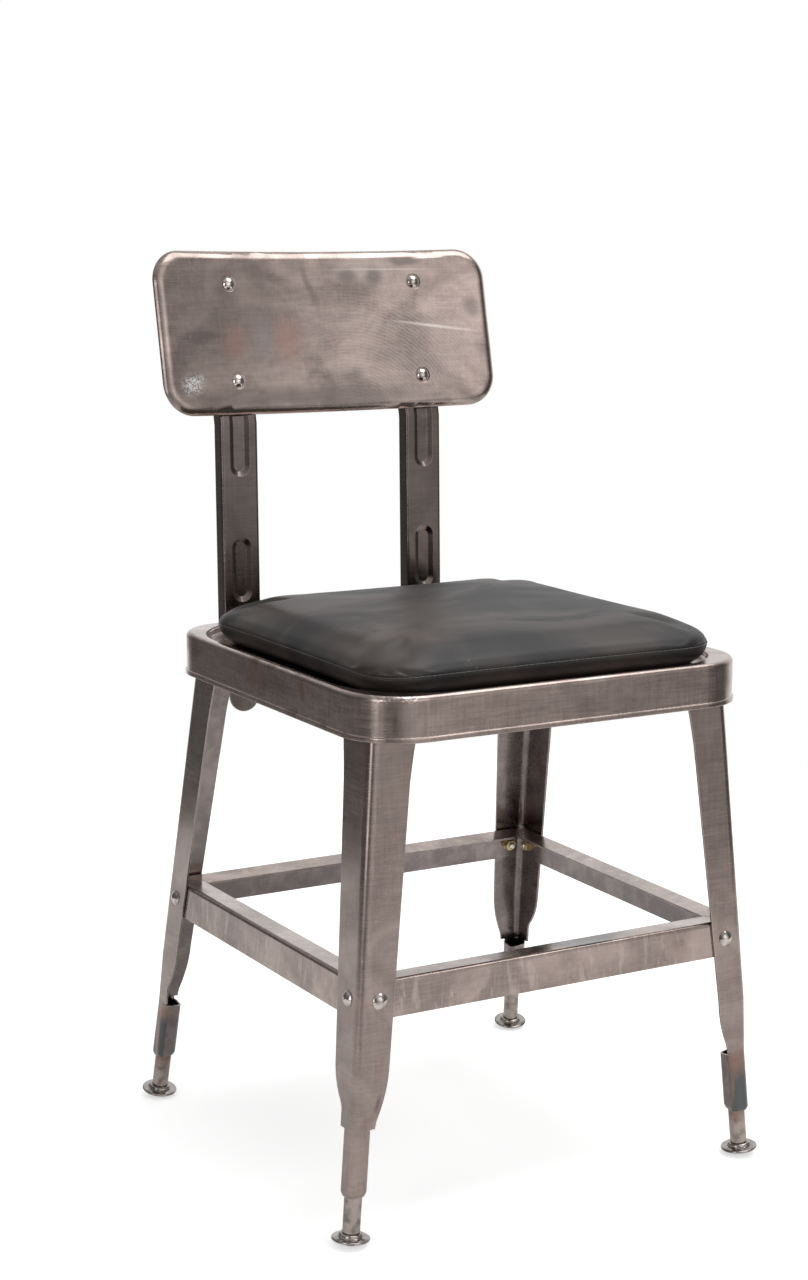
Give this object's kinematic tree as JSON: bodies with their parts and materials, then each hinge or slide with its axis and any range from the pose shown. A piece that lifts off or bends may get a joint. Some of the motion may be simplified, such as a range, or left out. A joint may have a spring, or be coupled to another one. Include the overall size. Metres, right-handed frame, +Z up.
{
  "type": "chair",
  "caption": "Pressed-steel bistro chair with splayed angle legs, bolted stretchers, screw-in levelling glides, a dished seat pan with a loose pad, and a low bowed back panel on channel uprights",
  "frame": {"origin": "on the floor under the middle of the chair's plan", "axes": "+Z up, the sitter faces -Y, +X to the right of someone looking at the front"},
  "size_m": [0.4244, 0.4554, 0.7855],
  "materials": {
    "steel": "bare pressed steel under clear lacquer, cloudy grinder swirls",
    "bare_steel": "turned bright steel",
    "chrome": "polished plating",
    "zinc": "yellow zinc plating",
    "rubber": "hard moulded dome, satin",
    "vinyl": "matt black coated fabric over foam"
  },
  "bodies": {
    "frame": {"seat_pan": "steel", "seat_cushion": "vinyl", "leg_front_left": "steel", "leg_front_right": "steel", "leg_rear_left": "steel", "leg_rear_right": "steel", "stem_front_left": "bare_steel", "stem_front_right": "bare_steel", "stem_rear_left": "bare_steel", "stem_rear_right": "bare_steel", "stretcher_front": "steel", "stretcher_rear": "steel", "stretcher_left": "steel", "stretcher_right": "steel", "stretcher_bolts": "chrome", "stretcher_washers": "zinc", "stretcher_nuts": "zinc", "back_upright_left": "steel", "back_upright_right": "steel", "upright_bracket_left": "steel", "upright_bracket_right": "steel", "bracket_bolts": "chrome", "bracket_washers": "zinc", "bracket_nuts": "zinc", "back_panel": "steel", "back_spacers": "bare_steel", "back_bolts": "chrome", "back_washers": "zinc", "back_nuts": "zinc"},
    "tip_front_left": {"glide_tip_front_left": "rubber"},
    "glide_front_left": {"glide_stud_front_left": "bare_steel", "glide_base_front_left": "chrome"},
    "tip_front_right": {"glide_tip_front_right": "rubber"},
    "glide_front_right": {"glide_stud_front_right": "bare_steel", "glide_base_front_right": "chrome"},
    "tip_rear_left": {"glide_tip_rear_left": "rubber"},
    "glide_rear_left": {"glide_stud_rear_left": "bare_steel", "glide_base_rear_left": "chrome"},
    "tip_rear_right": {"glide_tip_rear_right": "rubber"},
    "glide_rear_right": {"glide_stud_rear_right": "bare_steel", "glide_base_rear_right": "chrome"}
  },
  "joints": [
    {"name": "glide_rise_front_left", "type": "slide", "parent": "frame", "child": "tip_front_left", "axis": [-0.0871, -0.04, -0.9954], "range_m": [0, 0.008]},
    {"name": "glide_turn_front_left", "type": "hinge", "parent": "tip_front_left", "child": "glide_front_left", "pos_m": [-0.1955, -0.20946, 0.0146], "axis": [-0.0871, -0.04, -0.9954], "range_deg": [0, 2304]},
    {"name": "glide_rise_front_right", "type": "slide", "parent": "frame", "child": "tip_front_right", "axis": [0.0871, -0.04, -0.9954], "range_m": [0, 0.008]},
    {"name": "glide_turn_front_right", "type": "hinge", "parent": "tip_front_right", "child": "glide_front_right", "pos_m": [0.1955, -0.20946, 0.0146], "axis": [0.0871, -0.04, -0.9954], "range_deg": [0, 2304]},
    {"name": "glide_rise_rear_left", "type": "slide", "parent": "frame", "child": "tip_rear_left", "axis": [-0.059, 0.1625, -0.9849], "range_m": [0, 0.008]},
    {"name": "glide_turn_rear_left", "type": "hinge", "parent": "tip_rear_left", "child": "glide_rear_left", "pos_m": [-0.1952, 0.16754, 0.0146], "axis": [-0.059, 0.1625, -0.9849], "range_deg": [0, 2304]},
    {"name": "glide_rise_rear_right", "type": "slide", "parent": "frame", "child": "tip_rear_right", "axis": [0.059, 0.1625, -0.9849], "range_m": [0, 0.008]},
    {"name": "glide_turn_rear_right", "type": "hinge", "parent": "tip_rear_right", "child": "glide_rear_right", "pos_m": [0.1952, 0.16754, 0.0146], "axis": [0.059, 0.1625, -0.9849], "range_deg": [0, 2304]}
  ],
  "couplings": [
    {"joint": "glide_rise_front_left", "follows": "glide_turn_front_left", "m_per_rad": 0.00019894},
    {"joint": "glide_rise_front_right", "follows": "glide_turn_front_right", "m_per_rad": 0.00019894},
    {"joint": "glide_rise_rear_left", "follows": "glide_turn_rear_left", "m_per_rad": 0.00019894},
    {"joint": "glide_rise_rear_right", "follows": "glide_turn_rear_right", "m_per_rad": 0.00019894}
  ]
}
